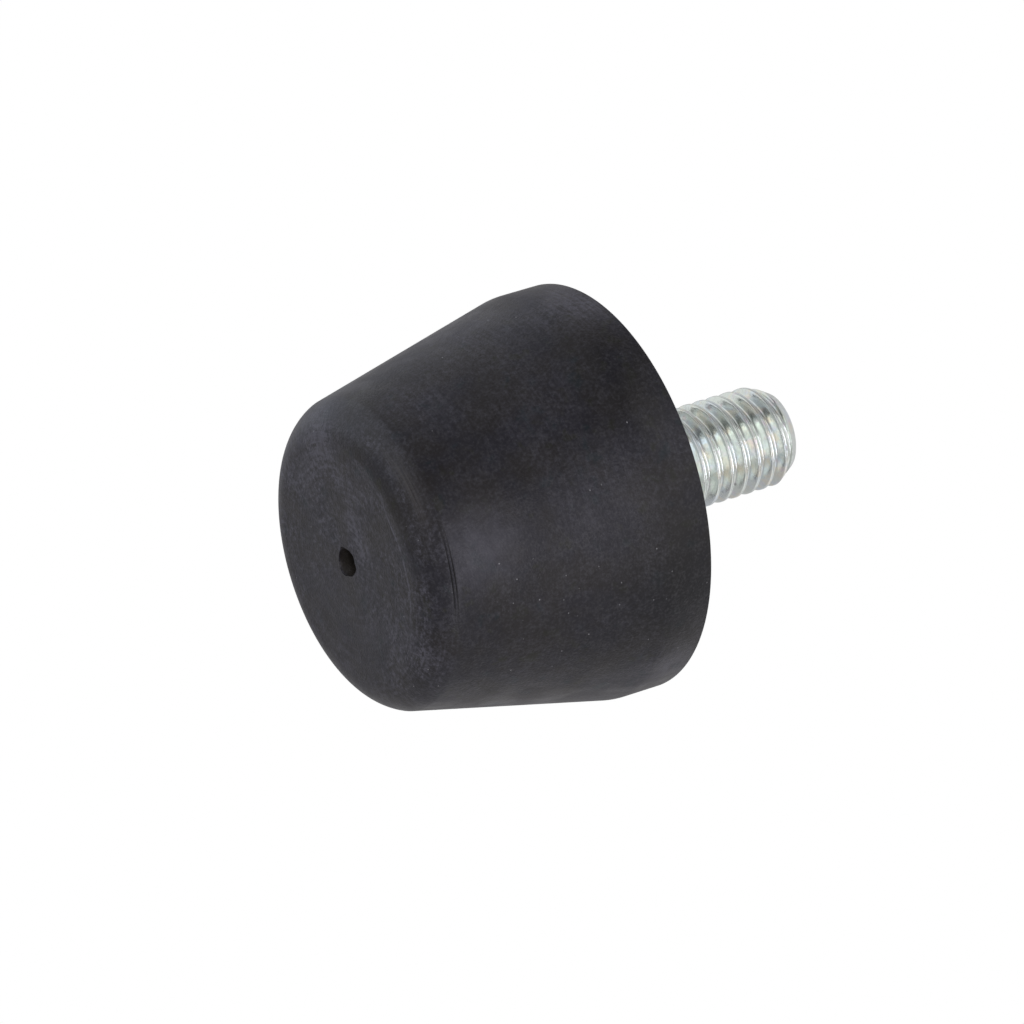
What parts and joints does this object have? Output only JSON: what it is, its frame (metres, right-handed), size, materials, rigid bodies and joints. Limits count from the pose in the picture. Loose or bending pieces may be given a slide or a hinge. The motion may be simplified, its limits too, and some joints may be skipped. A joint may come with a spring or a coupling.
{
  "type": "rubber foot",
  "caption": "Tapered round rubber foot with a rounded nose and a blind moulding hole, bonded to a steel disc that carries a projecting threaded stud.",
  "frame": {"origin": "centre of the narrow foot face, which stands on the bench", "axes": "+Z along the axis of the foot, from the foot face to the tip of the stud; X and Y are free, because the part is round"},
  "size_m": [0.032, 0.032, 0.0387],
  "materials": {
    "black_rubber": "satin moulded rubber, charcoal black, with a little bloom",
    "zinc_disc": "zinc plate, satin",
    "zinc_stud": "bright zinc plate with a faint yellow and green cast"
  },
  "bodies": {
    "root": {"rubber_body": "black_rubber", "base_disc": "zinc_disc", "threaded_stud": "zinc_stud"}
  },
  "joints": []
}
